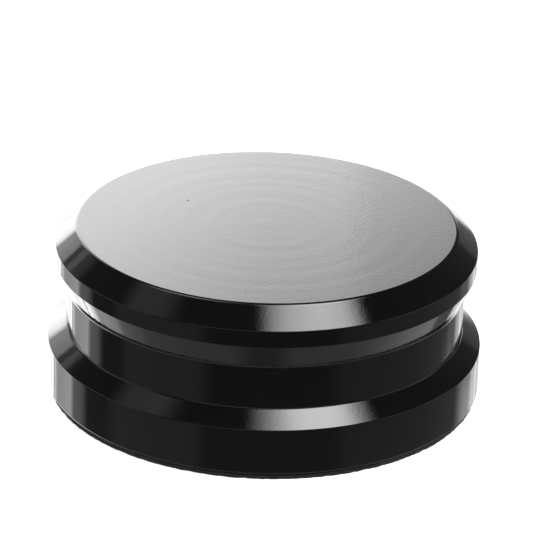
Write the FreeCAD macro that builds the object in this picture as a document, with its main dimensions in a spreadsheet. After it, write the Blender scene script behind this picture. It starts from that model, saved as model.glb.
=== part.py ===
import FreeCAD, Part
import math
import os
from types import SimpleNamespace

import Sketcher
from FreeCAD import Rotation, Vector

# A record weight: a waisted puck that sits over a turntable's spindle and holds a record flat.
# A turned and lacquered aluminium shell holds a brass core between rubber dampers. A screwed base
# plate closes it, a plastic bush takes the spindle, and a felt ring rests on the record's label.
# Everything stands on +Z, and the origin is the centre of the felt's underside.

SIZES = (
    # name, millimetres, what it is
    ("base_radius", 40.0, "outer radius of the lower band, which the other radii follow"),
    ("rim_setback", 1.3, "how far the rim stays inside the lower band"),
    ("waist_depth", 3.4, "how far the waist is let in from the lower band"),
    ("top_chamfer_width", 3.85, "from the rim in to the flat top"),
    ("lower_band_height", 8.9, "upright band above the base"),
    ("lower_chamfer_height", 2.6, "height of the slope from the lower band in to the waist"),
    ("waist_height", 8.1, "upright height of the waist"),
    ("undercut_height", 4.75, "height of the slope from the waist out to the rim"),
    ("rim_height", 3.1, "upright height of the rim"),
    ("top_chamfer_height", 3.5, "height of the slope from the rim in to the flat top"),
    ("foot_chamfer", 0.4, "break on the shell's lowest edge"),
    ("top_edge_round", 0.6, "round between the flat top and its chamfer"),
    ("edge_round", 0.2, "round on the other outer edges"),
    ("waist_top_fillet", 1.3, "tool radius under the rim"),
    ("waist_foot_fillet", 0.4, "tool radius at the foot of the waist"),
    ("top_wall", 4.5, "metal above the cavity"),
    ("waist_wall", 4.6, "metal between the waist and the cavity"),
    ("foot_wall", 2.9, "metal round the base plate's recess"),
    ("plate_thickness", 3.0, "base plate, let in flush with the shell"),
    ("plate_clearance", 0.1, "gap round the base plate in its recess"),
    ("damper_thickness", 1.0, "rubber discs above and below the core"),
    ("damper_gap", 0.5, "radial gap round the rubber discs"),
    ("core_clearance", 1.0, "radial gap between core and shell"),
    ("core_chamfer", 0.8, "break on the core's outer edges"),
    ("ring_depth", 1.2, "how deep the centring rings sit in the core"),
    ("ring_width", 3.0, "height of each centring ring"),
    ("ring_inset", 3.0, "from a core end to its centring ring"),
    ("bore_radius", 3.65, "hole for the turntable's spindle"),
    ("bore_depth", 15.0, "depth of that hole from the bush's flange"),
    ("bore_chamfer", 0.5, "lead-in at the mouth of the hole"),
    ("bush_wall", 2.35, "wall of the bush round the spindle"),
    ("bush_end", 2.0, "closed end of the bush"),
    ("flange_width", 3.0, "how far the bush's flange stands out from it"),
    ("flange_thickness", 1.5, "thickness of that flange"),
    ("damper_hole_gap", 1.0, "radial gap between bush and lower damper"),
    ("core_pocket_gap", 0.5, "space left above the bush in the core"),
    ("screw_count", 4, "screws in the base plate"),
    ("screw_edge", 0.45, "base plate left outside a screw's head"),
    ("screw_radius", 1.25, "half the screws' thread diameter"),
    ("screw_length", 7.0, "overall length of a countersunk screw"),
    ("screw_head_radius", 2.25, "head of a countersunk screw"),
    ("screw_tip", 0.4, "taper at the screw's end"),
    ("screw_hole_gap", 0.15, "radial gap round a screw in the base plate"),
    ("tap_spare", 1.2, "depth of the tapped hole past the screw"),
    ("socket_flat", 1.5, "hexagon socket across its flats"),
    ("socket_depth", 0.9, "depth of that socket"),
    ("adhesive_thickness", 0.15, "double-sided film that holds the felt"),
    ("adhesive_inset", 0.3, "how far the film stays inside the felt's edges"),
    ("pad_thickness", 0.8, "felt ring"),
    ("pad_inset", 0.5, "how far the felt stays inside the lower band"),
    ("pad_hole_gap", 2.35, "felt cut back round the spindle's hole"),
)
SAME_MM = 1e-4


class Length:
    """Millimetres, and the expression on the sheet's cells that gives them."""

    def __init__(self, mm, text):
        self.mm = mm
        self.text = text

    def __add__(self, other):
        return Length(self.mm + other.mm, f"{self.text} + {other.text}")

    def __sub__(self, other):
        return Length(self.mm - other.mm, f"{self.text} - ({other.text})")

    def __mul__(self, factor):
        return Length(self.mm * factor, f"({self.text}) * {factor!r}")


AXIS = Length(0.0, "0")
cell = SimpleNamespace(**{name: Length(mm, f"sizes.{name}") for name, mm, _ in SIZES})

# Radii, from the axis out.
rim_radius = cell.base_radius - cell.rim_setback
waist_radius = cell.base_radius - cell.waist_depth
top_face_radius = rim_radius - cell.top_chamfer_width
cavity_radius = waist_radius - cell.waist_wall
recess_radius = cell.base_radius - cell.foot_wall
plate_radius = recess_radius - cell.plate_clearance
core_radius = cavity_radius - cell.core_clearance
ring_inner_radius = core_radius - cell.ring_depth
bush_radius = cell.bore_radius + cell.bush_wall
flange_radius = bush_radius + cell.flange_width
screw_place = plate_radius - cell.screw_edge - cell.screw_head_radius
pad_radius = cell.base_radius - cell.pad_inset
pad_hole_radius = cell.bore_radius + cell.pad_hole_gap

# Levels, up from the felt's underside.
shell_foot = cell.pad_thickness + cell.adhesive_thickness
band_top = shell_foot + cell.lower_band_height
waist_foot = band_top + cell.lower_chamfer_height
waist_top = waist_foot + cell.waist_height
rim_foot = waist_top + cell.undercut_height
rim_top = rim_foot + cell.rim_height
shell_top = rim_top + cell.top_chamfer_height
plate_top = shell_foot + cell.plate_thickness
cavity_top = shell_top - cell.top_wall
core_foot = plate_top + cell.damper_thickness
core_top = cavity_top - cell.damper_thickness
lower_ring_foot = core_foot + cell.ring_inset
upper_ring_foot = core_top - cell.ring_inset - cell.ring_width
flange_top = shell_foot + cell.flange_thickness
bore_top = shell_foot + cell.bore_depth
bush_top = bore_top + cell.bush_end
screw_head_top = shell_foot + cell.screw_head_radius - cell.screw_radius
screw_top = shell_foot + cell.screw_length
tap_top = screw_top + cell.tap_spare

doc = FreeCAD.newDocument("record_weight")
sheet = doc.addObject("Spreadsheet::Sheet", "sizes")


def fill_sheet():
    for row, (name, mm, note) in enumerate(SIZES, start=1):
        sheet.set(f"A{row}", name)
        sheet.set(f"B{row}", str(mm))
        sheet.set(f"C{row}", note)
        sheet.setAlias(f"B{row}", name)
    doc.recompute()


def new_body(name):
    body = doc.addObject("PartDesign::Body", name)
    body.Label = name
    return body


def origin_feature(body, role):
    return next(feature for feature in body.Origin.OriginFeatures if feature.Role == role)


def hold(sketch, kind, geometry, point, length, name):
    """Ties one coordinate of a sketch's point to the sheet, or puts it on the axis where it is zero."""
    if abs(length.mm) < SAME_MM:
        axis = -2 if kind == "DistanceX" else -1
        sketch.addConstraint(Sketcher.Constraint("PointOnObject", geometry, point, axis))
        return
    index = sketch.addConstraint(Sketcher.Constraint(kind, -1, 1, geometry, point, length.mm))
    sketch.renameConstraint(index, name)
    sketch.setExpression(f"Constraints.{name}", length.text)


def outline_sketch(body, name, outline, turning_radius=None):
    """A closed outline of (radius, height) corners in the upright plane. A turning_radius adds an
    upright construction line there, to turn the outline about."""
    sketch = body.newObject("Sketcher::SketchObject", name)
    sketch.AttachmentSupport = (origin_feature(body, "XZ_Plane"), [""])
    sketch.MapMode = "FlatFace"
    corners = [Vector(radius.mm, height.mm, 0) for radius, height in outline]
    for start, end in zip(corners, corners[1:] + corners[:1]):
        sketch.addGeometry(Part.LineSegment(start, end), False)
    count = len(corners)
    for i in range(count):
        sketch.addConstraint(Sketcher.Constraint("Coincident", i, 2, (i + 1) % count, 1))
    for i, (radius, height) in enumerate(outline):
        hold(sketch, "DistanceX", i, 1, radius, f"radius_{i}")
        hold(sketch, "DistanceY", i, 1, height, f"height_{i}")
    if turning_radius is not None:
        foot = Vector(turning_radius.mm, shell_foot.mm, 0)
        head = Vector(turning_radius.mm, shell_top.mm, 0)
        line = sketch.addGeometry(Part.LineSegment(foot, head), True)
        for point, height in ((1, shell_foot), (2, shell_top)):
            hold(sketch, "DistanceX", line, point, turning_radius, f"turning_radius_{point}")
            hold(sketch, "DistanceY", line, point, height, f"turning_height_{point}")
    return sketch


def turn(body, name, outline, turning_radius=None, cut=False):
    """Turns an outline about Z, or about an upright line at turning_radius, to add or to cut."""
    sketch = outline_sketch(body, name + "_outline", outline, turning_radius)
    before = body.Shape.Volume if cut else 0.0
    feature = body.newObject("PartDesign::Groove" if cut else "PartDesign::Revolution", name)
    feature.Profile = sketch
    feature.ReferenceAxis = (sketch, ["V_Axis" if turning_radius is None else "Axis0"])
    feature.Angle = 360
    sketch.Visibility = False
    doc.recompute()
    if cut and not body.Shape.Volume < before:
        raise RuntimeError(f"{name} cut nothing")
    return feature


def repeat_round(body, name, *features):
    """Repeats features round Z, once for each screw."""
    pattern = body.newObject("PartDesign::PolarPattern", name)
    pattern.Originals = list(features)
    pattern.Axis = (origin_feature(body, "Z_Axis"), [""])
    pattern.Angle = 360
    pattern.setExpression("Occurrences", cell.screw_count.text)
    body.Tip = pattern
    doc.recompute()


def is_circle_at(edge, radius, height):
    curve = edge.Curve
    return (
        isinstance(curve, Part.Circle)
        and abs(curve.Radius - radius.mm) < SAME_MM
        and abs(curve.Center.z - height.mm) < SAME_MM
        and abs(curve.Center.x) < SAME_MM
    )


def round_circles(body, name, round_radius, circles):
    """Rounds the circular edges at these (radius, height) places."""
    base = body.Tip
    edges = [
        f"Edge{index}"
        for index, edge in enumerate(body.Shape.Edges, start=1)
        if any(is_circle_at(edge, radius, height) for radius, height in circles)
    ]
    if len(edges) != len(circles):
        raise RuntimeError(f"{name} found {len(edges)} of {len(circles)} edges")
    fillet = body.newObject("PartDesign::Fillet", name)
    fillet.Base = (base, edges)
    fillet.setExpression("Radius", round_radius.text)
    body.Tip = fillet
    doc.recompute()


def make_outer_shell():
    """The visible puck, with the cavity for the core and the recess for the base plate."""
    body = new_body("outer_shell")
    turn(
        body,
        "turned_shell",
        (
            (AXIS, shell_top),
            (top_face_radius, shell_top),
            (rim_radius, rim_top),
            (rim_radius, rim_foot),
            (waist_radius, waist_top),
            (waist_radius, waist_foot),
            (cell.base_radius, band_top),
            (cell.base_radius, shell_foot + cell.foot_chamfer),
            (cell.base_radius - cell.foot_chamfer, shell_foot),
            (recess_radius, shell_foot),
            (recess_radius, plate_top),
            (cavity_radius, plate_top),
            (cavity_radius, cavity_top),
            (AXIS, cavity_top),
        ),
    )
    round_circles(body, "top_edge", cell.top_edge_round, [(top_face_radius, shell_top)])
    round_circles(body, "under_rim", cell.waist_top_fillet, [(waist_radius, waist_top)])
    round_circles(body, "over_band", cell.waist_foot_fillet, [(waist_radius, waist_foot)])
    outer_edges = [(rim_radius, rim_top), (rim_radius, rim_foot), (cell.base_radius, band_top)]
    round_circles(body, "outer_edges", cell.edge_round, outer_edges)
    tapped_hole = turn(
        body,
        "tapped_hole",
        (
            (screw_place, plate_top),
            (screw_place + cell.screw_radius, plate_top),
            (screw_place + cell.screw_radius, tap_top),
            (screw_place, tap_top + cell.screw_radius),
        ),
        turning_radius=screw_place,
        cut=True,
    )
    repeat_round(body, "tapped_holes", tapped_hole)
    return body


def make_ballast_core():
    """The brass weight, grooved for its centring rings and pocketed for the spindle bush."""
    body = new_body("ballast_core")
    pocket_top = bush_top + cell.core_pocket_gap
    outline = [
        (bush_radius, core_foot),
        (core_radius - cell.core_chamfer, core_foot),
        (core_radius, core_foot + cell.core_chamfer),
    ]
    for ring_foot in (lower_ring_foot, upper_ring_foot):
        outline += [
            (core_radius, ring_foot),
            (ring_inner_radius, ring_foot),
            (ring_inner_radius, ring_foot + cell.ring_width),
            (core_radius, ring_foot + cell.ring_width),
        ]
    outline += [
        (core_radius, core_top - cell.core_chamfer),
        (core_radius - cell.core_chamfer, core_top),
        (AXIS, core_top),
        (AXIS, pocket_top),
        (bush_radius, pocket_top),
    ]
    turn(body, "turned_core", outline)
    return body


def make_ring(name, foot, top, inner_radius, outer_radius):
    """A plain ring or disc: a centring ring, a damper, the felt or the film that holds it."""
    body = new_body(name)
    corners = ((inner_radius, foot), (outer_radius, foot), (outer_radius, top), (inner_radius, top))
    turn(body, "plain_ring", corners)
    return body


def make_centring_ring(name, foot):
    """A rubber ring that fills its groove in the core and bears on the shell's bore."""
    return make_ring(name, foot, foot + cell.ring_width, ring_inner_radius, cavity_radius)


def make_damper(name, foot, hole_radius):
    """A rubber disc at one end of the core, plain or with a hole for the bush."""
    top = foot + cell.damper_thickness
    return make_ring(name, foot, top, hole_radius, cavity_radius - cell.damper_gap)


def make_base_plate():
    """The plate that closes the shell, countersunk for its screws and the bush's flange."""
    body = new_body("base_plate")
    turn(
        body,
        "turned_plate",
        (
            (flange_radius, shell_foot),
            (plate_radius, shell_foot),
            (plate_radius, plate_top),
            (bush_radius, plate_top),
            (bush_radius, flange_top),
            (flange_radius, flange_top),
        ),
    )
    hole_radius = screw_place + cell.screw_radius + cell.screw_hole_gap
    screw_hole = turn(
        body,
        "screw_hole",
        (
            (screw_place, shell_foot),
            (screw_place + cell.screw_head_radius, shell_foot),
            (hole_radius, screw_head_top - cell.screw_hole_gap),
            (hole_radius, plate_top),
            (screw_place, plate_top),
        ),
        turning_radius=screw_place,
        cut=True,
    )
    repeat_round(body, "screw_holes", screw_hole)
    return body


def socket_sketch(body):
    """The hexagon of the first screw's socket, on the underside of its head."""
    hexagon = body.newObject("Sketcher::SketchObject", "socket_outline")
    hexagon.AttachmentSupport = (origin_feature(body, "XY_Plane"), [""])
    hexagon.MapMode = "FlatFace"
    hexagon.setExpression("AttachmentOffset.Base.z", shell_foot.text)
    corner_radius = cell.socket_flat * (1 / math.sqrt(3))
    centre = Vector(screw_place.mm, 0, 0)
    first = Vector(corner_radius.mm, 0, 0)
    corners = [centre + Rotation(Vector(0, 0, 1), 60 * i).multVec(first) for i in range(6)]
    for start, end in zip(corners, corners[1:] + corners[:1]):
        hexagon.addGeometry(Part.LineSegment(start, end), False)
    circle = hexagon.addGeometry(Part.Circle(centre, Vector(0, 0, 1), first.x), True)
    for i in range(6):
        hexagon.addConstraint(Sketcher.Constraint("Coincident", i, 2, (i + 1) % 6, 1))
        hexagon.addConstraint(Sketcher.Constraint("PointOnObject", i, 1, circle))
    for i in range(1, 6):
        hexagon.addConstraint(Sketcher.Constraint("Equal", 0, i))
    hexagon.addConstraint(Sketcher.Constraint("PointOnObject", circle, 3, -1))
    hexagon.addConstraint(Sketcher.Constraint("PointOnObject", 0, 1, -1))
    hold(hexagon, "DistanceX", circle, 3, screw_place, "screw_place")
    radius = hexagon.addConstraint(Sketcher.Constraint("Radius", circle, first.x))
    hexagon.renameConstraint(radius, "corner_radius")
    hexagon.setExpression("Constraints.corner_radius", corner_radius.text)
    return hexagon


def make_base_plate_screws():
    """The countersunk screws, whose heads lie flush under the felt."""
    body = new_body("base_plate_screws")
    body.AllowCompound = True
    shank_radius = screw_place + cell.screw_radius
    blank = turn(
        body,
        "turned_screw",
        (
            (screw_place, shell_foot),
            (screw_place + cell.screw_head_radius, shell_foot),
            (shank_radius, screw_head_top),
            (shank_radius, screw_top - cell.screw_tip),
            (shank_radius - cell.screw_tip, screw_top),
            (screw_place, screw_top),
        ),
        turning_radius=screw_place,
    )
    hexagon = socket_sketch(body)
    before = body.Shape.Volume
    socket = body.newObject("PartDesign::Pocket", "socket")
    socket.Profile = hexagon
    socket.setExpression("Length", cell.socket_depth.text)
    socket.Reversed = True
    hexagon.Visibility = False
    doc.recompute()
    if not body.Shape.Volume < before:
        raise RuntimeError("the screw's socket cut nothing")
    repeat_round(body, "screws", blank, socket)
    return body


def make_spindle_bush():
    """The plastic bush that slips over the turntable's spindle without marking it."""
    body = new_body("spindle_bush")
    turn(
        body,
        "turned_bush",
        (
            (cell.bore_radius + cell.bore_chamfer, shell_foot),
            (flange_radius, shell_foot),
            (flange_radius, flange_top),
            (bush_radius, flange_top),
            (bush_radius, bush_top),
            (AXIS, bush_top),
            (AXIS, bore_top),
            (cell.bore_radius, bore_top),
            (cell.bore_radius, shell_foot + cell.bore_chamfer),
        ),
    )
    return body


def make_adhesive_film():
    """The film between the felt and the base, cut a little smaller than the felt."""
    inner_radius = pad_hole_radius + cell.adhesive_inset
    outer_radius = pad_radius - cell.adhesive_inset
    return make_ring("pad_adhesive_film", cell.pad_thickness, shell_foot, inner_radius, outer_radius)


def check(bodies):
    doc.recompute()
    for thing in doc.Objects:
        if "Invalid" in thing.State or "Error" in thing.State:
            raise RuntimeError(f"{thing.Label} is {thing.State}")
    for body in bodies:
        shape = body.Shape
        if shape.isNull() or not shape.isValid() or shape.Volume <= 0:
            raise RuntimeError(f"{body.Label} has no valid solid")
        wanted = cell.screw_count.mm if body.Label == "base_plate_screws" else 1
        if len(shape.Solids) != wanted:
            raise RuntimeError(f"{body.Label} has {len(shape.Solids)} solids, not {wanted}")


def main():
    fill_sheet()
    bodies = [
        make_outer_shell(),
        make_ballast_core(),
        make_centring_ring("upper_centring_ring", upper_ring_foot),
        make_centring_ring("lower_centring_ring", lower_ring_foot),
        make_damper("upper_damping_disc", core_top, AXIS),
        make_damper("lower_damping_disc", plate_top, bush_radius + cell.damper_hole_gap),
        make_base_plate(),
        make_base_plate_screws(),
        make_spindle_bush(),
        make_adhesive_film(),
        make_ring("felt_pad", AXIS, cell.pad_thickness, pad_hole_radius, pad_radius),
    ]
    check(bodies)
    os.makedirs("parts", exist_ok=True)
    for body in bodies:
        body.Shape.exportStep(f"parts/{body.Label}.step")
        print(f"{body.Label}: {body.Shape.Volume:.1f} mm3")


main()
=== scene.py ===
import math

import bpy
import numpy as np
from mathutils import Matrix, Vector


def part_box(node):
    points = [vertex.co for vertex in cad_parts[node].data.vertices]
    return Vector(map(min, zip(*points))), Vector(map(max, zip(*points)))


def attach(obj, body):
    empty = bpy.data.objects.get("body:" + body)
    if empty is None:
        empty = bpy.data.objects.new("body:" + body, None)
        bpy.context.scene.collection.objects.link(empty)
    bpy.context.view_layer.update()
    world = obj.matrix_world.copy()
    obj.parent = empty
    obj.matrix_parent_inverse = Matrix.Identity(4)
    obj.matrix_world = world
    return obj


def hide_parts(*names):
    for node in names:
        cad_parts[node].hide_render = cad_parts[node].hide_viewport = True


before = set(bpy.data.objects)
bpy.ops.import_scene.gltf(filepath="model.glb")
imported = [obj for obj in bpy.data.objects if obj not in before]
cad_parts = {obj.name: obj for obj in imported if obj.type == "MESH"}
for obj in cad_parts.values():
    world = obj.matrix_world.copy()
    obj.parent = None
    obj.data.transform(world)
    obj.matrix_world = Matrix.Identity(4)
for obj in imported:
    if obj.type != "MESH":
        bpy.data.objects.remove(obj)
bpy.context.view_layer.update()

mm = 0.001
degree = math.pi / 180
tiny = 1e-6  # millimetres: heights that are closer than this are one height
body = "root"  # nothing on a record weight moves, so there is one body
scene = bpy.context.scene


# A socket in a node tree. Arithmetic on it adds Math nodes and gives a new Wire.
class Wire:
    def __init__(self, graph, socket):
        self.graph = graph
        self.socket = socket

    def __add__(self, other):
        return self.graph.math("ADD", self, other)

    def __sub__(self, other):
        return self.graph.math("SUBTRACT", self, other)

    def __rsub__(self, other):
        return self.graph.math("SUBTRACT", other, self)

    def __mul__(self, other):
        return self.graph.math("MULTIPLY", self, other)

    def __truediv__(self, other):
        return self.graph.math("DIVIDE", self, other)

    def __abs__(self):
        return self.graph.math("ABSOLUTE", self)

    __radd__ = __add__
    __rmul__ = __mul__


# A node tree. node() makes any node: its settings first, then the values or wires of its sockets.
class Graph:
    def __init__(self, tree):
        self.tree = tree
        tree.nodes.clear()

    def node(self, kind, settings=None, inputs=None, output=0):
        made = self.tree.nodes.new(kind)
        for name, setting in (settings or {}).items():
            setattr(made, name, setting)
        for name, given in (inputs or {}).items():
            if isinstance(given, Wire):
                self.tree.links.new(given.socket, made.inputs[name])
            else:
                made.inputs[name].default_value = given
        return Wire(self, made.outputs[output]) if made.outputs else made

    def math(self, operation, *values):
        return self.node("ShaderNodeMath", {"operation": operation}, dict(enumerate(values)))

    def split(self, vector):
        made = self.node("ShaderNodeSeparateXYZ", None, {0: vector})
        return [Wire(self, socket) for socket in made.socket.node.outputs]

    def join(self, x, y, z):
        return self.node("ShaderNodeCombineXYZ", None, {0: x, 1: y, 2: z})

    # 0 below low, 1 above high, with an S-curve or a straight line between them
    def rise(self, value, low, high, curve="SMOOTHSTEP"):
        inputs = {"Value": value, "From Min": low, "From Max": high}
        return self.node("ShaderNodeMapRange", {"interpolation_type": curve}, inputs)

    # 1 from low to high, falling to 0 over soft on each side
    def band(self, value, low, high, soft):
        return self.rise(value, low - soft, low) * (1 - self.rise(value, high, high + soft))

    def mixColour(self, share, first, second):
        inputs = {0: share, 6: first, 7: second}  # sockets 6, 7 and output 2 are the colour ones
        return self.node("ShaderNodeMix", {"data_type": "RGBA"}, inputs, 2)

    def noise(self, place, size, detail=2.0, roughness=0.5, distortion=0.0):
        inputs = {"Vector": place, "Scale": 1 / size, "Detail": detail,
                  "Roughness": roughness, "Distortion": distortion}
        return self.node("ShaderNodeTexNoise", None, inputs)

    # 1 in small round spots scattered over cells of a size, in the given share of the cells
    def specks(self, place, cell, spot, share):
        near = self.node("ShaderNodeTexVoronoi", None, {"Vector": place, "Scale": 1 / cell})
        chance = self.split(Wire(self, near.socket.node.outputs["Color"]))[0]
        isChosen = self.rise(chance, 1 - share, 1 - share + 0.01)
        return (1 - self.rise(near, 0.4 * spot / cell, spot / cell)) * isChosen

    def bump(self, height, depth):
        inputs = {"Height": height, "Distance": depth, "Strength": 1.0}
        return self.node("ShaderNodeBump", None, inputs)

    def distance(self, place, point):
        made = self.node("ShaderNodeVectorMath", {"operation": "DISTANCE"}, {0: place, 1: point})
        return Wire(self, made.socket.node.outputs["Value"])


# A material with one Principled shader. paint(graph, place) returns its sockets' values and wires.
def makeMaterial(name, paint):
    material = bpy.data.materials.new(name)
    material.use_nodes = True
    graph = Graph(material.node_tree)
    place = graph.node("ShaderNodeTexCoord", output=3)  # Object coordinates, in metres
    shader = graph.node("ShaderNodeBsdfPrincipled", None, paint(graph, place))
    graph.node("ShaderNodeOutputMaterial", None, {"Surface": shader})
    return material


def grey(level):
    return (level, level, level, 1.0)


# The points and normals of an outline of (radius, height, round) corners, in millimetres, with the
# solid on the right of travel. A corner becomes an arc that is tangent to both of its runs: it is
# cut back by round * tan(half the turn), and its normals turn evenly from one run's to the next's.
# An open outline starts and ends on the axis, at corners with no round.
def roundedOutline(corners, arcSteps, isOpen=False):
    places = np.array([corner[:2] for corner in corners], float)
    count = len(corners)
    points = []
    normals = []
    for i, corner in enumerate(corners):
        roundRadius = corner[2]
        if isOpen and i in (0, count - 1):
            points.append(places[i:i + 1])
            normals.append(np.array([[0.0, 1.0 if i == 0 else -1.0]]))
            continue
        into = places[i] - places[i - 1]
        out = places[(i + 1) % count] - places[i]
        into = into / np.hypot(*into)
        out = out / np.hypot(*out)
        turn = math.atan2(into[0] * out[1] - into[1] * out[0], into @ out)
        outward = -math.copysign(1.0, turn)  # a right turn is an outer corner
        start = places[i] - into * roundRadius * math.tan(abs(turn) / 2)
        angles = np.linspace(0, turn, arcSteps + 1)[:, None]
        left = np.array([-into[1], into[0]])
        facing = left * np.cos(angles) + np.array([-left[1], left[0]]) * np.sin(angles)
        points.append(start + (facing - left) * roundRadius * outward)
        normals.append(facing)
    return np.concatenate(points), np.concatenate(normals)


# Points at most step apart along each run of an outline, by straight interpolation. The step is one
# length for all runs, or a list with one for each.
def filledIn(points, normals, step, isOpen=False):
    following = np.roll(np.hstack([points, normals]), -1, axis=0)
    current = np.hstack([points, normals])
    lengths = np.hypot(*(following - current)[:, :2].T)
    counts = np.ceil(lengths / step - 1e-9).astype(int).clip(1)
    if isOpen:
        counts[-1] = 1
    filled = []
    for i, pieces in enumerate(counts):
        share = (np.arange(pieces) / pieces)[:, None]
        filled.append(current[i] * (1 - share) + following[i] * share)
    filled = np.concatenate(filled)
    return filled[:, :2], filled[:, 2:]


# Quads over a grid of rows along an outline and columns round the axis, facing away from the solid.
def gridFaces(rows, columns, closeRows):
    row = np.arange(rows if closeRows else rows - 1)[:, None] + np.zeros((1, columns), int)
    column = np.arange(columns)[None, :] + np.zeros_like(row)
    nextRow = (row + 1) % rows
    nextColumn = (column + 1) % columns
    corners = (row * columns + column, nextRow * columns + column,
               nextRow * columns + nextColumn, row * columns + nextColumn)
    return np.stack(corners, axis=-1).reshape(-1, 4).tolist()


# An outline turned round the Z axis: x = radius * cos(angle), y = radius * sin(angle), z = height.
# An open outline's two ends lie on the axis, and each becomes one point with a fan of triangles.
def turned(points, normals, columns, isOpen=False):
    angle = np.arange(columns) * 2 * math.pi / columns
    if isOpen:
        points, ends = points[1:-1], points[[0, -1]]
        normals = normals[1:-1]
    places = np.stack([points[:, :1] * np.cos(angle), points[:, :1] * np.sin(angle),
                       points[:, 1:] + 0 * angle], axis=-1).reshape(-1, 3)
    facing = np.stack([normals[:, :1] * np.cos(angle), normals[:, :1] * np.sin(angle),
                       normals[:, 1:] + 0 * angle], axis=-1).reshape(-1, 3)
    faces = gridFaces(len(points), columns, not isOpen)
    if isOpen:
        first = len(places)
        lastRow = first - columns
        column = np.arange(columns)
        following = (column + 1) % columns
        places = np.vstack([places, [[0, 0, ends[0, 1]], [0, 0, ends[1, 1]]]])
        facing = np.vstack([facing, [[0, 0, 1], [0, 0, -1]]])
        faces += np.stack([first + 0 * column, column, following], axis=1).tolist()
        last = first + 1 + 0 * column
        faces += np.stack([lastRow + column, last, lastRow + following], axis=1).tolist()
    return places, facing, faces


# Puts points in millimetres and their faces into a new piece that stands for CAD nodes.
def makePiece(name, points, faces, material, nodes, normals=None):
    mesh = bpy.data.meshes.new(name)
    mesh.from_pydata((np.asarray(points) * mm).tolist(), [], faces)
    mesh.polygons.foreach_set("use_smooth", np.ones(len(mesh.polygons), bool))
    mesh.update()
    if normals is not None:
        mesh.normals_split_custom_set_from_vertices(np.asarray(normals).tolist())
    mesh.materials.append(material)
    piece = bpy.data.objects.new(name, mesh)
    scene.collection.objects.link(piece)
    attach(piece, body)
    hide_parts(*nodes)
    print(name, "has", len(mesh.polygons), "faces")
    return piece


shell = {  # millimetres: the CAD shell's sizes. Its box gives the base's radius, foot and top
    "rimSetback": 1.3,
    "waistDepth": 3.4,
    "topChamferWidth": 3.85,
    "topChamferHeight": 3.5,
    "rimHeight": 3.1,
    "undercutHeight": 4.75,
    "waistHeight": 8.1,
    "lowerChamferHeight": 2.6,
    "footChamfer": 0.4,
    "topWall": 4.5,
    "waistWall": 4.6,
    "footWall": 2.9,
    "plateThickness": 3.0,
    "topEdgeRound": 1.1,  # the CAD's is 0.6
    "edgeRound": 0.2,
    "waistTopFillet": 1.3,
    "waistFootFillet": 0.4,
    "footRound": 0.45,  # the CAD's foot is only chamfered
    "insideRound": 0.15,
    "arcSteps": 6,
    "columns": 420,
    "topStep": 0.4,  # between the rings of points on the top face, and on the other faces
    "otherStep": 3.0,
    "ringPitches": (4.6, 3.1, 7.3),  # faint waves left by the facing cut, under the lacquer
    "ringHeights": (0.0008, 0.0003, 0.0007),
    "ringFade": 2.0,  # over which the waves fade out at the middle and at the edge
}


def shellOutline():
    low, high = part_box("outer_shell")
    baseRadius, foot, top = high.x / mm, low.z / mm, high.z / mm
    rimRadius = baseRadius - shell["rimSetback"]
    waistRadius = baseRadius - shell["waistDepth"]
    cavityRadius = waistRadius - shell["waistWall"]
    recessRadius = baseRadius - shell["footWall"]
    rimTop = top - shell["topChamferHeight"]
    rimFoot = rimTop - shell["rimHeight"]
    waistTop = rimFoot - shell["undercutHeight"]
    waistFoot = waistTop - shell["waistHeight"]
    bandTop = waistFoot - shell["lowerChamferHeight"]
    plateTop = foot + shell["plateThickness"]
    cavityTop = top - shell["topWall"]
    inside = shell["insideRound"]
    return (
        (0, top, 0),
        (rimRadius - shell["topChamferWidth"], top, shell["topEdgeRound"]),
        (rimRadius, rimTop, shell["edgeRound"]),
        (rimRadius, rimFoot, shell["edgeRound"]),
        (waistRadius, waistTop, shell["waistTopFillet"]),
        (waistRadius, waistFoot, shell["waistFootFillet"]),
        (baseRadius, bandTop, shell["edgeRound"]),
        (baseRadius, foot + shell["footChamfer"], shell["footRound"]),
        (baseRadius - shell["footChamfer"], foot, shell["footRound"]),
        (recessRadius, foot, inside),
        (recessRadius, plateTop, inside),
        (cavityRadius, plateTop, inside),
        (cavityRadius, cavityTop, inside),
        (0, cavityTop, 0),
    )


# The turned waves on the top face: a sum of sines of the radius, kept just under the face, that
# fades out at the middle and at the edge. The normal leans back by the sum's slope.
def addTurningRings(points, normals, top, edge):
    radius = points[:, 0]
    onTop = (points[:, 1] > top - tiny) & (radius < edge)
    fromMiddle = np.clip(radius / shell["ringFade"], 0, 1)
    fromEdge = np.clip((edge - radius) / shell["ringFade"], 0, 1)
    fade = fromMiddle * fromEdge * onTop
    height = np.zeros_like(radius)
    slope = np.zeros_like(radius)
    for pitch, tall in zip(shell["ringPitches"], shell["ringHeights"]):
        height += tall * (np.sin(2 * math.pi * radius / pitch) - 1)
        slope += tall * 2 * math.pi / pitch * np.cos(2 * math.pi * radius / pitch)
    points[:, 1] += height * fade
    normals[:, 0] -= slope * fade
    return points, normals


lacquer = {
    "darkest": 0.0008,
    "lightest": 0.0016,
    "roughness": 0.035,
    "peelSizes": (0.34, 0.8),  # the orange peel's fine and coarse waves, in millimetres
    "peelDepth": 0.0065,
    "peelLessOnTop": 0.0012,
    "patchSize": 22.0,  # the peel is stronger in some places, and toward +X
    "patchSide": (-26.0, 30.0),
    "dustDepth": 0.006,
    "nibDepth": 0.008,
    "nibs": ((-14.8, 9.7, 31.9, 0.26), (-3.5, -30.2, 31.9, 0.2),  # place and size, in millimetres
             (10.1, 21.5, 31.9, 0.14), (14.5, -12.3, 31.9, 0.13)),
}


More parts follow.
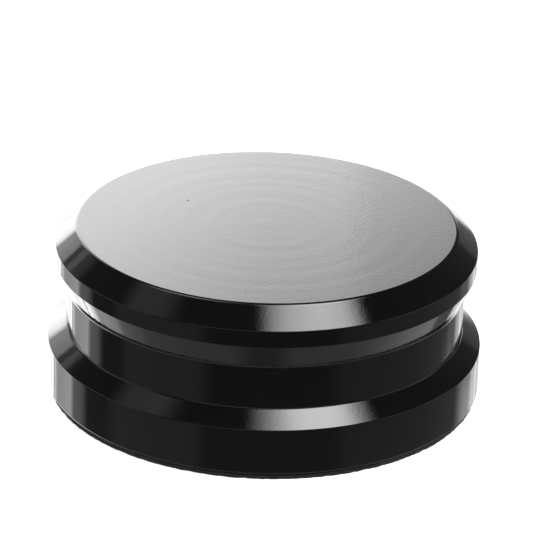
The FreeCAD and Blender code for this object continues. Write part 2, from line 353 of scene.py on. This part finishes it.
def lacquerPaint(graph, place):
    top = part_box("outer_shell")[1].z
    x, _, z = graph.split(place)
    onTop = graph.rise(z, top - 0.2 * mm, top - 0.1 * mm)
    fine, coarse = lacquer["peelSizes"]
    peel = graph.noise(place, fine * mm, 1.0) * 0.5 + graph.noise(place, coarse * mm, 1.0) * 0.5
    sideFrom, sideTo = lacquer["patchSide"]
    patchy = graph.noise(place, lacquer["patchSize"] * mm, 1.0)
    patchy = patchy + 0.45 * graph.rise(x, sideFrom * mm, sideTo * mm) - 0.05
    depth = lacquer["peelDepth"] - lacquer["peelLessOnTop"] * onTop
    height = peel * depth * (0.5 + patchy)
    dust = graph.specks(place, 5.5 * mm, 0.16 * mm, 0.22) * lacquer["dustDepth"]
    nibs = 0
    for *point, size in lacquer["nibs"]:
        away = graph.distance(place, Vector(point) * mm)
        nibs = nibs + (1 - graph.rise(away, 0.5 * size * mm, size * mm))
    haze = graph.noise(place, 9 * mm, 3.0, 0.6)
    return {
        "Base Color": graph.mixColour(haze, grey(lacquer["darkest"]), grey(lacquer["lightest"])),
        "Metallic": nibs,  # over near black this only darkens the reflection
        "Roughness": lacquer["roughness"] + 0.02 * haze + 0.5 * nibs,
        "IOR": 1.5,
        "Normal": graph.bump(height + dust - nibs * lacquer["nibDepth"], mm),
    }


shellCorners = shellOutline()
shellTop, topEdge = shellCorners[0][1], shellCorners[1][0]
outline, facing = roundedOutline(shellCorners, shell["arcSteps"], isOpen=True)
isTop = np.roll(outline[:, 1], -1) > shellTop - tiny
steps = np.where(isTop, shell["topStep"], shell["otherStep"])
outline, facing = filledIn(outline, facing, steps, isOpen=True)
outline, facing = addTurningRings(outline, facing, shellTop, topEdge)
places, normals, faces = turned(outline, facing, shell["columns"], isOpen=True)
makePiece("lacquered_shell", places, faces, makeMaterial("blackLacquer", lacquerPaint),
          ["outer_shell"], normals)


felt = {  # millimetres
    "holeRadius": 6.0,
    "columns": 560,
    "step": 0.5,
    "corner": 0.1,
    "cornerSteps": 5,
    "nap": 0.035,  # how far the face's nap rises and falls
    "edgeNap": 0.055,
    "sunk": 0.04,  # how far the faces lie under the felt's full thickness
    "fieldSpan": 90.0,
    "fieldCells": 512,
    "fieldLengths": (0.12, 1.2),
    "seed": 12,
    "fibres": 1500,
    "fibreWidth": 0.035,
    "fibreLength": 0.35,
    "rootDepth": 0.12,
}


# A square field of soft random heights, mean 0 and spread 1: seeded noise, blurred by damping its
# waves shorter than the given length.
def softField(random, cells, span, length):
    waves = np.fft.rfft2(random.standard_normal((cells, cells)))
    across = np.fft.fftfreq(cells, span / cells)[:, None]
    along = np.fft.rfftfreq(cells, span / cells)[None, :]
    waves = waves * np.exp(-(across ** 2 + along ** 2) * length ** 2)
    field = np.fft.irfft2(waves, (cells, cells))
    return (field - field.mean()) / field.std()


# The field's value under each point, from its nearest four cells.
def fieldAt(field, span, x, y):
    cells = len(field)
    column = (x / span + 0.5) * cells
    row = (y / span + 0.5) * cells
    left = np.floor(column).astype(int)
    under = np.floor(row).astype(int)
    across = column - left
    up = row - under
    left, right = left % cells, (left + 1) % cells
    under, over = under % cells, (under + 1) % cells
    return ((field[under, left] * (1 - across) + field[under, right] * across) * (1 - up)
            + (field[over, left] * (1 - across) + field[over, right] * across) * up)


# Fibres that stand out of the felt's edge. Each is a thin three-sided spike of two joints: its
# root is inside the felt, its middle bends aside and its tip bends further.
def edgeFibres(random, radius, thickness):
    count = felt["fibres"]
    angle = random.uniform(0, 2 * math.pi, count)
    height = random.uniform(0.12, thickness - 0.08, count)
    length = felt["fibreLength"] * random.uniform(0.2, 1.0, count) ** 1.6
    sideways = random.normal(0, 0.8, count)
    upward = random.normal(0, 0.25, count)
    outward = np.stack([np.cos(angle), np.sin(angle), 0 * angle], axis=1)
    along = np.stack([-np.sin(angle), np.cos(angle), 0 * angle], axis=1)
    up = np.array([[0.0, 0.0, 1.0]])
    root = outward * (radius - felt["rootDepth"]) + up * height[:, None]
    lean = outward + along * sideways[:, None] * 0.5 + up * upward[:, None]
    middle = root + lean * (0.5 * length[:, None] + 0.06)
    tip = middle + (lean + along * sideways[:, None]) * (0.5 * length[:, None])
    for joint in (root, middle, tip):
        joint[:, 2] = np.clip(joint[:, 2], 0.03, thickness - 0.03)
    turns = np.arange(3) * 2 * math.pi / 3
    ring = (along[:, None, :] * np.cos(turns)[None, :, None]
            + up[None] * np.sin(turns)[None, :, None]) * felt["fibreWidth"] / 2
    levels = [root[:, None] + ring, middle[:, None] + ring * 0.8, tip[:, None]]
    points = np.concatenate(levels, axis=1)
    side = [(a, (a + 1) % 3, (a + 1) % 3 + 3, a + 3) for a in range(3)]
    end = [(a + 3, (a + 1) % 3 + 3, 6) for a in range(3)]
    start = np.arange(count)[:, None, None] * 7
    quads = (np.array(side)[None] + start).reshape(-1, 4).tolist()
    triangles = (np.array(end + [(2, 1, 0)])[None] + start).reshape(-1, 3).tolist()
    return points.reshape(-1, 3), quads + triangles


# The felt's section is a rectangle with soft corners, turned round the axis. Its faces move along
# their normals by a fine and a coarse random field, more at the edges, but never under the floor.
def makeFelt(material):
    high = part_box("felt_pad")[1]
    outer, thickness = high.x / mm, high.z / mm
    inner = felt["holeRadius"]
    corner = felt["corner"]
    corners = [(inner, thickness, corner), (outer, thickness, corner),
               (outer, 0, corner), (inner, 0, corner)]
    outline, facing = filledIn(*roundedOutline(corners, felt["cornerSteps"]), felt["step"])
    places, normals, faces = turned(outline, facing, felt["columns"])
    random = np.random.default_rng(felt["seed"])
    span = felt["fieldSpan"]
    fine, coarse = (softField(random, felt["fieldCells"], span, length)
                    for length in felt["fieldLengths"])
    x, y, z = places.T
    shift = 0.5 * z  # so that the top and bottom corners of the edge don't move as one
    wander = 0.6 * fieldAt(fine, span, x + shift, y - shift) + 0.6 * fieldAt(coarse, span, x, y)
    atEdge = np.abs(normals[:, 2]) < 0.99
    reach = np.where(atEdge, felt["edgeNap"] * wander, felt["nap"] * wander - felt["sunk"])
    places = places + normals * reach[:, None]
    places[:, 2] = np.clip(places[:, 2], 0, thickness)
    hairs, hairFaces = edgeFibres(random, outer, thickness)
    first = len(places)
    faces = faces + [[point + first for point in face] for face in hairFaces]
    piece = makePiece("felt_ring", np.vstack([places, hairs]), faces, material,
                      ["felt_pad"])


def feltPaint(graph, place):
    strands = graph.noise(place, 0.35 * mm, 5.0, 0.7, 1.5)
    tufts = graph.noise(place, 2.6 * mm, 3.0, 0.6)
    tone = 0.6 * strands + 0.4 * tufts
    share = graph.rise(tone, 0.3, 0.7)
    colour = graph.mixColour(share, (0.004, 0.004, 0.0043, 1), (0.024, 0.024, 0.0255, 1))
    lint = graph.specks(place, 3.5 * mm, 0.12 * mm, 0.25)
    return {
        "Base Color": graph.mixColour(lint * 0.6, colour, (0.22, 0.21, 0.2, 1)),
        "Roughness": 0.9 + 0.1 * strands,
        "Specular IOR Level": 0.2,
        "Sheen Weight": 0.08,
        "Sheen Roughness": 0.6,
        "Normal": graph.bump(strands + 0.6 * tufts, 0.08 * mm),
    }


makeFelt(makeMaterial("blackFelt", feltPaint))


rubber = {  # millimetres
    "dish": 0.048,  # how far a pressed face dips at most
    "columns": 240,
    "step": 0.7,
    "round": 0.45,
    "arcSteps": 6,
    "fieldSpan": 90.0,
    "fieldCells": 128,
    "fieldLength": 5.0,
    "pieces": (  # name, CAD node, inner radius or none for a full disc, and seed
        ("lower_rubber_ring", "lower_centring_ring", 29.85, 3),
        ("upper_rubber_ring", "upper_centring_ring", 29.85, 4),
        ("upper_rubber_disc", "upper_damping_disc", None, 5),
        ("lower_rubber_disc", "lower_damping_disc", 7.0, 6),
    ),
}


# A rubber ring or disc in its CAD node's box: a rounded section whose top and bottom dish a little,
# by a slow ripple round the ring, where the parts that it parts press it unevenly.
def makeRubber(name, node, inner, seed, material):
    low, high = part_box(node)
    outer, foot, top = high.x / mm, low.z / mm, high.z / mm
    roundRadius = min(rubber["round"], (top - foot) * 0.42)
    if inner is None:
        corners = [(0, top, 0), (outer, top, roundRadius), (outer, foot, roundRadius), (0, foot, 0)]
    else:
        corners = [(inner, top, roundRadius), (outer, top, roundRadius),
                   (outer, foot, roundRadius), (inner, foot, roundRadius)]
    isOpen = inner is None
    outline, facing = roundedOutline(corners, rubber["arcSteps"], isOpen)
    outline, facing = filledIn(outline, facing, rubber["step"], isOpen)
    places, normals, faces = turned(outline, facing, rubber["columns"], isOpen)
    span = rubber["fieldSpan"]
    random = np.random.default_rng(seed)
    field = softField(random, rubber["fieldCells"], span, rubber["fieldLength"])
    press = 0.5 + 0.5 * np.tanh(fieldAt(field, span, places[:, 0], places[:, 1]))
    places[:, 2] -= normals[:, 2] * press * rubber["dish"]
    makePiece(name, places, faces, material, [node])


def rubberPaint(graph, place):
    bloom = graph.noise(place, 6 * mm, 4.0, 0.6)
    grain = graph.noise(place, 0.25 * mm, 3.0, 0.6)
    dust = graph.specks(place, 2.2 * mm, 0.1 * mm, 0.3)
    share = graph.rise(bloom, 0.35, 0.7)
    colour = graph.mixColour(share, (0.014, 0.014, 0.015, 1), (0.045, 0.045, 0.046, 1))
    return {
        "Base Color": graph.mixColour(dust * 0.5, colour, (0.16, 0.155, 0.15, 1)),
        "Roughness": 0.55 + 0.25 * bloom,
        "Normal": graph.bump(grain + 2 * bloom, 0.02 * mm),
    }


rubberSkin = makeMaterial("dampingRubber", rubberPaint)
for rubberPiece in rubber["pieces"]:
    makeRubber(*rubberPiece, rubberSkin)


# Turned metal: fine grooves that change only with the distance from the axis and with the height,
# a tint that drifts, and a duller bloom where it has been handled.
def turnedMetal(dark, bright, pitch, depth, roughness):
    def paint(graph, place):
        x, y, z = graph.split(place)
        radius = graph.math("SQRT", x * x + y * y)
        across = graph.join(radius, 0.0, z)
        grooves = graph.noise(across, pitch * mm, 3.0, 0.7)
        wide = graph.noise(across, 12 * pitch * mm, 2.0)
        bloom = graph.noise(place, 11 * mm, 4.0, 0.6)
        marks = graph.specks(place, 4 * mm, 0.2 * mm, 0.3)
        tint = graph.mixColour(graph.rise(bloom, 0.3, 0.75), bright, dark)
        return {
            "Base Color": graph.mixColour(graph.rise(wide, 0.45, 0.75) * 0.35, tint, dark),
            "Metallic": 1.0,
            "Roughness": roughness + 0.14 * bloom + 0.12 * grooves,
            "Normal": graph.bump(grooves + 0.5 * wide - 0.8 * marks, depth * mm),
        }
    return paint


def acetalPaint(graph, place):
    x, y, z = graph.split(place)
    across = graph.join(graph.math("SQRT", x * x + y * y), 0.0, z)
    grooves = graph.noise(across, 0.16 * mm, 3.0, 0.7)
    cloud = graph.noise(place, 4 * mm, 3.0)
    dust = graph.specks(place, 1.6 * mm, 0.09 * mm, 0.25)
    colour = graph.mixColour(cloud, (0.83, 0.82, 0.78, 1), (0.74, 0.725, 0.67, 1))
    return {
        "Base Color": graph.mixColour(dust * 0.5, colour, (0.3, 0.28, 0.25, 1)),
        "Roughness": 0.34 + 0.16 * grooves,
        "Subsurface Weight": 0.08,
        "Subsurface Scale": 0.002,
        "Normal": graph.bump(grooves, 0.006 * mm),
    }


def filmPaint(graph, place):
    ripple = graph.noise(place, 5 * mm, 3.0, 0.6, 0.8)
    bubbles = graph.specks(place, 3 * mm, 0.4 * mm, 0.35)
    colour = graph.mixColour(ripple, (0.72, 0.66, 0.5, 1), (0.56, 0.49, 0.33, 1))
    return {
        "Base Color": graph.mixColour(bubbles * 0.6, colour, (0.8, 0.77, 0.68, 1)),
        "Roughness": 0.25 + 0.3 * ripple,
        "Normal": graph.bump(ripple + 0.4 * bubbles, 0.03 * mm),
    }


finishes = {  # CAD nodes that keep their shape
    "ballast_core": makeMaterial("turnedBrass", turnedMetal(
        (0.5, 0.32, 0.12, 1), (0.83, 0.62, 0.3, 1), 0.12, 0.012, 0.22)),
    "base_plate": makeMaterial("turnedAluminium", turnedMetal(
        (0.5, 0.51, 0.53, 1), (0.8, 0.81, 0.82, 1), 0.16, 0.012, 0.2)),
    "base_plate_screws": makeMaterial("zincedSteel", turnedMetal(
        (0.36, 0.36, 0.36, 1), (0.66, 0.67, 0.69, 1), 0.3, 0.006, 0.26)),
    "spindle_bush": makeMaterial("turnedAcetal", acetalPaint),
    "pad_adhesive_film": makeMaterial("adhesiveFilm", filmPaint),
}
for nodeName, material in finishes.items():
    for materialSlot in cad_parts[nodeName].material_slots:
        materialSlot.material = material
print("the CAD pieces that stay have their finishes")


studio = {  # directions in degrees: azimuth 0 is straight behind the object, and right is plus
    "backdrop": 1.05,  # the room as the camera sees it, behind the object
    "fill": 0.105,
    "glow": 4.85,  # the lit wall behind, which fades upward and to the right
    "glowAtCentre": (23.6, 3.54),  # height above the horizon, and how bright it is there
    "glowFade": (0.41, 0.58),  # a degree to the right, a degree up
    "glowEdges": (-34.5, -29.5, 2, 15),  # where it starts, is full, starts to end, and is gone
    "overhead": (13.0, 0.31, -0.12),  # level, across and along, on the plane at height 1
    "weak": (0.38, -0.75, 0.05),
    "ceiling": (2.2, -0.36, 0.25),
    "sides": 0.6,  # panels that light the other three sides
    # upright panels: azimuth from and to, softness, level
    "leftHigh": ((-41.5, -34.2, 1.4, 1.3), (-48.5, -46, 1.2, 0.45), (-53, -35, 5, 0.25)),
    "leftLow": ((-56, -34, 5, 1.0), (-35, -28, 3, 0.8), (-67, -60, 8, 0.62),
                (-140, -100, 14, 0.16)),
    "rightLow": ((14, 31, 7, 1.05), (22, 25, 1.5, 0.6), (17.3, 17.9, 0.7, -0.5),
                 (37, 45, 4, 0.22), (50, 130, 14, 0.11)),
}


# The sum of soft panels, each with where it starts and ends, its softness and its level.
def panels(graph, angle, rows):
    light = 0
    for low, high, soft, level in rows:
        light = light + level * graph.band(angle, low, high, soft)
    return light


# The wall behind: a slope of light between soft edges.
def wallGlow(graph, azimuth, height, down):
    rise, band = graph.rise, graph.band
    centreHeight, centreLevel = studio["glowAtCentre"]
    toRight, upward = studio["glowFade"]
    leftOut, leftFull, rightFull, rightOut = studio["glowEdges"]
    slope = centreLevel - toRight * azimuth - upward * (height - centreHeight)
    slope = slope + 0.3 * rise(azimuth, 0, 1.4, "LINEAR")
    glow = rise(slope / studio["glow"], 0, 1, "LINEAR") * studio["glow"]
    glow = glow * (1 - 0.14 * rise(azimuth, 1.3, 1.85))  # a faint upright line right of the middle
    glow = glow * (0.42 + 0.58 * rise(height, -12, 6))  # dimmer under the horizon
    glow = glow * rise(azimuth + 9 * rise(down, 26, 40), leftOut, leftFull)
    glow = glow * (1 - rise(azimuth, rightFull, rightOut))
    glow = glow * (1 - rise(height, 24, 42)) * (1 - rise(down, 36, 60))
    glow = glow * (1 - 0.5 * rise(azimuth, -2, 8) * rise(down, 6, 20))
    return glow * (1 - 0.7 * band(down, 9.5, 14, 2.5) * rise(azimuth, 6, 11))


# The three panels overhead are soft shapes on the plane at height 1, where a direction's place is
# its x and y divided by its z.
def overheadPanels(graph, x, y, z):
    rise = graph.rise
    above = graph.math("MAXIMUM", z, 0.02)
    across = x / above
    along = y / above
    spot = graph.join(across, along, 0.0)
    fromMain, fromWeak, fromCeiling = (graph.distance(spot, (*studio[name][1:], 0))
                                       for name in ("overhead", "weak", "ceiling"))
    main = (1 - 0.35 * rise(fromMain, 0.05, 0.3)) * (1 - rise(fromMain, 0.36, 0.46))
    main = main * (1 - rise(across + 0.6 * along, 0.38, 0.7)) * (1 - rise(across, 0.6, 0.76))
    main = main * rise(across, -0.11, 0.19)
    weak = 1 - rise(fromWeak, 0.12, 0.36)
    ceiling = 1 - rise(fromCeiling, 0.1, 0.36)
    light = main * studio["overhead"][0] + weak * studio["weak"][0] + ceiling * studio["ceiling"][0]
    return light * rise(z, 0.1, 0.2)


# The upright panels at the left and right, which the rim, the waist and the band reflect.
def uprightPanels(graph, azimuth, height, down, seam):
    rise, band = graph.rise, graph.band
    raised = rise(height, -8, 2) * (1 - rise(height, 24, 32))
    lowered = 1 - rise(height, -16, -6)
    leftHigh = panels(graph, azimuth, studio["leftHigh"]) * raised
    leftLow = panels(graph, azimuth, studio["leftLow"])
    leftLow = leftLow + 0.72 * band(azimuth, -56, -34, 5) * rise(0 - azimuth, 40, 55)
    leftLow = leftLow * lowered * (1 - rise(down, 38, 56)) * seam
    rightLow = panels(graph, azimuth, studio["rightLow"])
    rightLow = rightLow + 0.75 * band(azimuth, 33, 47, 10) * rise(down, 25.3, 26.2)
    rightLow = rightLow * lowered * (1 - rise(down, 27, 36))
    slant = rise(height - 1.45 * azimuth, -32.5, -29)  # the tail's lower end is cut at a slant
    tail = 0.95 * band(azimuth, 8, 16, 7) * slant + 0.15 * band(azimuth, 19, 29, 5)
    return leftHigh + leftLow + rightLow + tail * band(height, -14, 9, 6)


# The weak light from low down, which the undercut reflects.
def steepPanels(graph, azimuth, down):
    rise, band = graph.rise, graph.band
    inFront = rise(down, 66, 73) * rise(abs(azimuth), 140, 172)
    light = 0.27 * rise(down, 34, 50) * (1 - 0.8 * inFront)
    atRight = rise(azimuth, 38, 41) * (1 - rise(azimuth, 46, 100))
    light = light + 0.42 * atRight * band(down, 39, 60, 5)
    light = light + 0.15 * band(azimuth, -72, -48, 5) * band(down, 44, 56, 5)
    light = light + 0.9 * band(azimuth, 12, 24, 4) * band(down, 30, 34, 2.5)
    return light + 0.05 * rise(down, 26, 27.2)


# The panels at the sides and in front, for views from elsewhere.
def sidePanels(graph, azimuth, height):
    away = abs(azimuth)
    side = graph.band(away, 72, 114, 8) * graph.band(height, -4, 30, 6)
    front = graph.rise(away, 132, 146) * graph.band(height, 2, 34, 8)
    return studio["sides"] * (side + front)


# Light by direction: soft panels in a dark room. The camera sees a plain pale backdrop instead.
def makeStudio():
    world = bpy.data.worlds.new("softStudio")
    scene.world = world
    world.use_nodes = True
    graph = Graph(world.node_tree)
    x, y, z = graph.split(graph.node("ShaderNodeTexCoord"))
    azimuth = graph.math("ARCTAN2", x, y) / degree
    height = graph.math("ARCSINE", z) / degree
    down = 0 - height
    seam = 1 - 0.7 * graph.band(azimuth, -33, -32, 0.7) * (1 - graph.rise(height, -16, -6))
    light = studio["fill"] + wallGlow(graph, azimuth, height, down) * seam
    light = light + overheadPanels(graph, x, y, z)
    light = light + uprightPanels(graph, azimuth, height, down, seam)
    light = light + steepPanels(graph, azimuth, down)
    light = light + sidePanels(graph, azimuth, height)
    white = grey(1.0)
    backdrop = {"Color": white, "Strength": studio["backdrop"]}
    backdrop = graph.node("ShaderNodeBackground", None, backdrop)
    shining = graph.node("ShaderNodeBackground", None, {"Color": white, "Strength": light})
    isSeen = graph.node("ShaderNodeLightPath")
    both = graph.node("ShaderNodeMixShader", None, {0: isSeen, 1: shining, 2: backdrop})
    graph.node("ShaderNodeOutputWorld", None, {"Surface": both})


makeStudio()


table = {
    "radii": (500, 1500),  # millimetres
    "thickness": 20,
    "gap": 0.02,  # under the felt
    "columns": 64,
    "glow": 0.8,
}


# The floor is a lit table: a disc of rings, turned round the axis like the pieces.
def makeFloor():
    inner, outer = table["radii"]
    foot = -table["thickness"]
    outline = np.array([(0, 0), (inner, 0), (outer, 0), (outer, foot), (0, foot)], float)
    facing = np.array([(0, 1), (0, 1), (1, 0), (1, 0), (0, -1)], float)
    places, _, faces = turned(outline, facing, table["columns"], isOpen=True)
    places[:, 2] -= table["gap"]
    mesh = bpy.data.meshes.new("floor")
    mesh.from_pydata((places * mm).tolist(), [], faces)
    mesh.materials.append(makeMaterial("paleTable", lambda graph, place: {
        "Base Color": graph.mixColour(graph.noise(place, 0.4), grey(0.9), grey(0.93)),
        "Roughness": 0.9,
        "Specular IOR Level": 0.0,
        "Emission Color": grey(1.0),
        "Emission Strength": table["glow"],
    }))
    floor = bpy.data.objects.new("floor", mesh)
    scene.collection.objects.link(floor)
    floor.visible_glossy = False  # so the lacquer shows the panels and not the table


makeFloor()


view = {
    "lens": 243.9,  # millimetres, on a sensor 36 wide
    "height": 24.82,  # degrees above the horizon
    "distance": 0.6664,  # metres
    "target": 0.016,  # how high the point it looks at is
    "roll": 1.8,
    "aimRight": 0.0001,  # radians
    "aimUp": 0.0101,
}


def makeCamera():
    height = view["height"] * degree
    back = Vector((0, -math.cos(height), math.sin(height)))
    right = Vector((1, 0, 0))
    up = back.cross(right)
    turnX = Matrix.Rotation(-view["aimRight"], 3, up)
    turnY = Matrix.Rotation(view["aimUp"], 3, right)
    roll = Matrix.Rotation(view["roll"] * degree, 3, "Z")
    axes = turnX @ turnY @ Matrix((right, up, back)).transposed() @ roll
    camera = bpy.data.objects.new("camera", bpy.data.cameras.new("camera"))
    camera.data.sensor_width = 36
    camera.data.lens = view["lens"]
    place = Vector((0, 0, view["target"])) + back * view["distance"]
    camera.matrix_world = Matrix.Translation(place) @ axes.to_4x4()
    scene.collection.objects.link(camera)
    scene.camera = camera
    scene.view_settings.view_transform = "Standard"


makeCamera()
print("the light, the table and the camera are in place")
